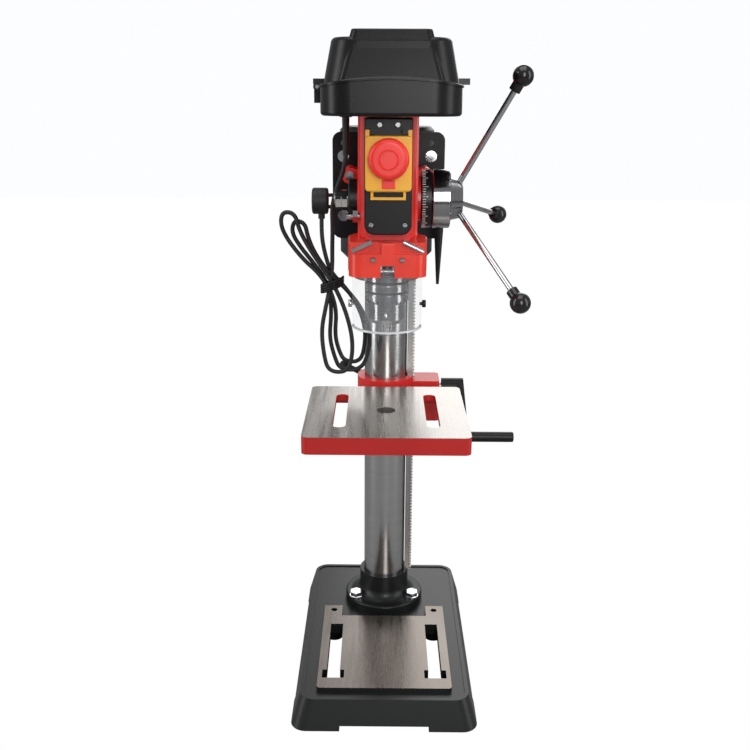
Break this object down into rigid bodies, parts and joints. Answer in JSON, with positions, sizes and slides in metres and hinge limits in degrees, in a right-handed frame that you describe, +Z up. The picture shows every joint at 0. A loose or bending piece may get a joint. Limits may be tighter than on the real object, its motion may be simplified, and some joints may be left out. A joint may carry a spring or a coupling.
{
  "type": "drill press",
  "caption": "Bench drill press with cast base, column, rack-lifted tilting table, keyed chuck, spoked feed, step-pulley belt drive, clear guard and switch.",
  "frame": {"origin": "on the bench plane, midway between the base's two bench bolt holes", "axes": "+Z up the column, -Y towards the operator, +X towards the feed handle"},
  "size_m": [0.305, 0.478, 0.845],
  "materials": {
    "base_black": "satin black paint",
    "head_red": "gloss paint",
    "guard_red": "moulded",
    "cover_black": "satin",
    "motor_grey": "satin",
    "black_plastic": "satin",
    "crank_black": "satin",
    "flap_yellow": "moulded",
    "button_green": "moulded",
    "clear": "clear plastic",
    "column_steel": "ground",
    "machine_steel": "machined",
    "chrome": "plated",
    "pulley_alloy": "cast",
    "rubber": "satin"
  },
  "bodies": {
    "frame": {"base_casting": "base_black", "column_holder": "base_black", "holder_bolts": "chrome", "column": "column_steel", "rack_collar": "column_steel", "head_casting": "head_red", "gib_screw": "chrome", "sleeve_bearing": "machine_steel", "spring_cap": "black_plastic", "return_spring": "machine_steel", "belt_tub": "cover_black", "hinge_pins": "chrome", "drive_belt": "rubber", "switch_box": "black_plastic", "guard_holder": "guard_red", "guard_levers": "chrome", "cover_screws": "chrome", "cord_boot": "rubber", "mains_lead": "rubber", "cord_hank": "rubber", "mains_plug": "rubber"},
    "rack": {"table_rack": "column_steel"},
    "bracket": {"table_bracket": "head_red", "tilt_bolt": "machine_steel"},
    "lift_gear": {"lift_gear": "machine_steel"},
    "crank": {"worm_shaft": "machine_steel", "crank_arm": "crank_black"},
    "crank_grip": {"crank_grip": "black_plastic"},
    "table_lock": {"table_lock": "black_plastic"},
    "table": {"table": "head_red"},
    "quill": {"quill": "machine_steel", "quill_bearings": "machine_steel"},
    "spindle": {"spindle": "machine_steel", "chuck_body": "chrome"},
    "chuck_sleeve": {"chuck_sleeve": "chrome"},
    "jaw_1": {"chuck_jaw_1": "chrome"},
    "jaw_2": {"chuck_jaw_2": "chrome"},
    "jaw_3": {"chuck_jaw_3": "chrome"},
    "feed": {"pinion_shaft": "machine_steel", "feed_hub": "chrome", "feed_spokes": "chrome", "feed_knobs": "black_plastic", "cap_nuts": "chrome"},
    "depth_ring": {"depth_ring": "black_plastic"},
    "spindle_pulley": {"spindle_pulley": "pulley_alloy"},
    "motor": {"motor_housing": "motor_grey", "motor_stator": "machine_steel", "motor_plate": "cover_black", "motor_bolts": "chrome", "slide_rods": "column_steel"},
    "rotor": {"motor_rotor": "machine_steel", "motor_pulley": "pulley_alloy"},
    "tension_lever": {"tension_lever": "black_plastic"},
    "lid": {"belt_lid": "cover_black"},
    "start_button": {"start_button": "button_green"},
    "stop_button": {"stop_button": "guard_red"},
    "flap": {"stop_flap": "flap_yellow"},
    "mushroom": {"stop_mushroom": "guard_red"},
    "shield": {"clear_shield": "clear", "shield_screw": "black_plastic"}
  },
  "joints": [
    {"name": "table_swing", "type": "hinge", "parent": "frame", "child": "rack", "pos_m": [0, 0.054, 0.3], "axis": [0, 0, 1], "range_deg": [-180, 180]},
    {"name": "table_lift", "type": "slide", "parent": "rack", "child": "bracket", "axis": [0, 0, -1], "range_m": [-0.025, 0.2]},
    {"name": "lift_gear_turn", "type": "hinge", "parent": "bracket", "child": "lift_gear", "pos_m": [0.0498, 0.054, 0.3567], "axis": [0, 1, 0], "range_deg": [-140, 1100]},
    {"name": "crank_turn", "type": "hinge", "parent": "bracket", "child": "crank", "pos_m": [0.09, 0.054, 0.375], "axis": [1, 0, 0], "range_deg": [-645, 5110]},
    {"name": "crank_grip_spin", "type": "hinge", "parent": "crank", "child": "crank_grip", "pos_m": [0.14, -0.046, 0.335], "axis": [1, 0, 0], "continuous": true},
    {"name": "table_lock_turn", "type": "hinge", "parent": "bracket", "child": "table_lock", "pos_m": [0, 0.105, 0.372], "axis": [1, 0, 0], "range_deg": [0, 60]},
    {"name": "table_tilt", "type": "hinge", "parent": "bracket", "child": "table", "pos_m": [0, 0, 0.345], "axis": [0, 1, 0], "range_deg": [-45, 0]},
    {"name": "quill_feed", "type": "slide", "parent": "frame", "child": "quill", "axis": [0, 0, -1], "range_m": [0, 0.06], "stiffness_N_per_m": 320, "springref_m": -0.13},
    {"name": "feed_turn", "type": "hinge", "parent": "frame", "child": "feed", "pos_m": [0, -0.066, 0.654], "axis": [1, 0, 0], "range_deg": [0, 287]},
    {"name": "depth_ring_turn", "type": "hinge", "parent": "feed", "child": "depth_ring", "pos_m": [0.047, -0.066, 0.654], "axis": [1, 0, 0], "range_deg": [-170, 170]},
    {"name": "pulley_spin", "type": "hinge", "parent": "frame", "child": "spindle_pulley", "pos_m": [0, -0.096, 0.8], "axis": [0, 0, 1], "continuous": true},
    {"name": "spindle_spin", "type": "hinge", "parent": "quill", "child": "spindle", "pos_m": [0, -0.096, 0.6], "axis": [0, 0, 1], "continuous": true},
    {"name": "rotor_spin", "type": "hinge", "parent": "motor", "child": "rotor", "pos_m": [0, 0.178, 0.7], "axis": [0, 0, 1], "continuous": true},
    {"name": "chuck_sleeve_turn", "type": "hinge", "parent": "spindle", "child": "chuck_sleeve", "pos_m": [0, -0.096, 0.55], "axis": [0, 0, 1], "range_deg": [0, 720]},
    {"name": "motor_slide", "type": "slide", "parent": "frame", "child": "motor", "axis": [0, -1, 0], "range_m": [0, 0.008]},
    {"name": "tension_lever_turn", "type": "hinge", "parent": "frame", "child": "tension_lever", "pos_m": [0.071, 0.054, 0.628], "axis": [-1, 0, 0], "range_deg": [0, 60.1]},
    {"name": "lid_hinge", "type": "hinge", "parent": "frame", "child": "lid", "pos_m": [-0.082, 0.03, 0.785], "axis": [0, -1, 0], "range_deg": [0, 100]},
    {"name": "start_press", "type": "slide", "parent": "frame", "child": "start_button", "axis": [0, 1, 0], "range_m": [0, 0.003], "stiffness_N_per_m": 400, "springref_m": -0.002},
    {"name": "stop_press", "type": "slide", "parent": "frame", "child": "stop_button", "axis": [0, 1, 0], "range_m": [0, 0.003], "stiffness_N_per_m": 400, "springref_m": -0.002},
    {"name": "flap_hinge", "type": "hinge", "parent": "frame", "child": "flap", "pos_m": [0, -0.1545, 0.7375], "axis": [-1, 0, 0], "range_deg": [0, 55]},
    {"name": "mushroom_press", "type": "slide", "parent": "flap", "child": "mushroom", "axis": [0, 1, 0], "range_m": [0, 0.003], "stiffness_N_per_m": 500, "springref_m": -0.002},
    {"name": "shield_hinge", "type": "hinge", "parent": "frame", "child": "shield", "pos_m": [0, -0.1475, 0.578], "axis": [-1, 0, 0], "range_deg": [0, 80]},
    {"name": "jaw_1_slide", "type": "slide", "parent": "spindle", "child": "jaw_1", "axis": [0, 0.1736, 0.9848], "range_m": [0, 0.00905]},
    {"name": "jaw_2_slide", "type": "slide", "parent": "spindle", "child": "jaw_2", "axis": [-0.1504, -0.0868, 0.9848], "range_m": [0, 0.00905]},
    {"name": "jaw_3_slide", "type": "slide", "parent": "spindle", "child": "jaw_3", "axis": [0.1504, -0.0868, 0.9848], "range_m": [0, 0.00905]}
  ],
  "couplings": [
    {"joint": "lift_gear_turn", "follows": "table_lift", "rad_per_m": 95.238},
    {"joint": "crank_turn", "follows": "table_lift", "rad_per_m": 444.44},
    {"joint": "feed_turn", "follows": "quill_feed", "rad_per_m": 83.333},
    {"joint": "spindle_spin", "follows": "pulley_spin", "ratio": 1},
    {"joint": "rotor_spin", "follows": "pulley_spin", "ratio": 1},
    {"joint": "tension_lever_turn", "follows": "motor_slide", "rad_per_m": 130.9},
    {"joint": "jaw_1_slide", "follows": "chuck_sleeve_turn", "m_per_rad": 0.0007162},
    {"joint": "jaw_2_slide", "follows": "chuck_sleeve_turn", "m_per_rad": 0.0007162},
    {"joint": "jaw_3_slide", "follows": "chuck_sleeve_turn", "m_per_rad": 0.0007162}
  ]
}
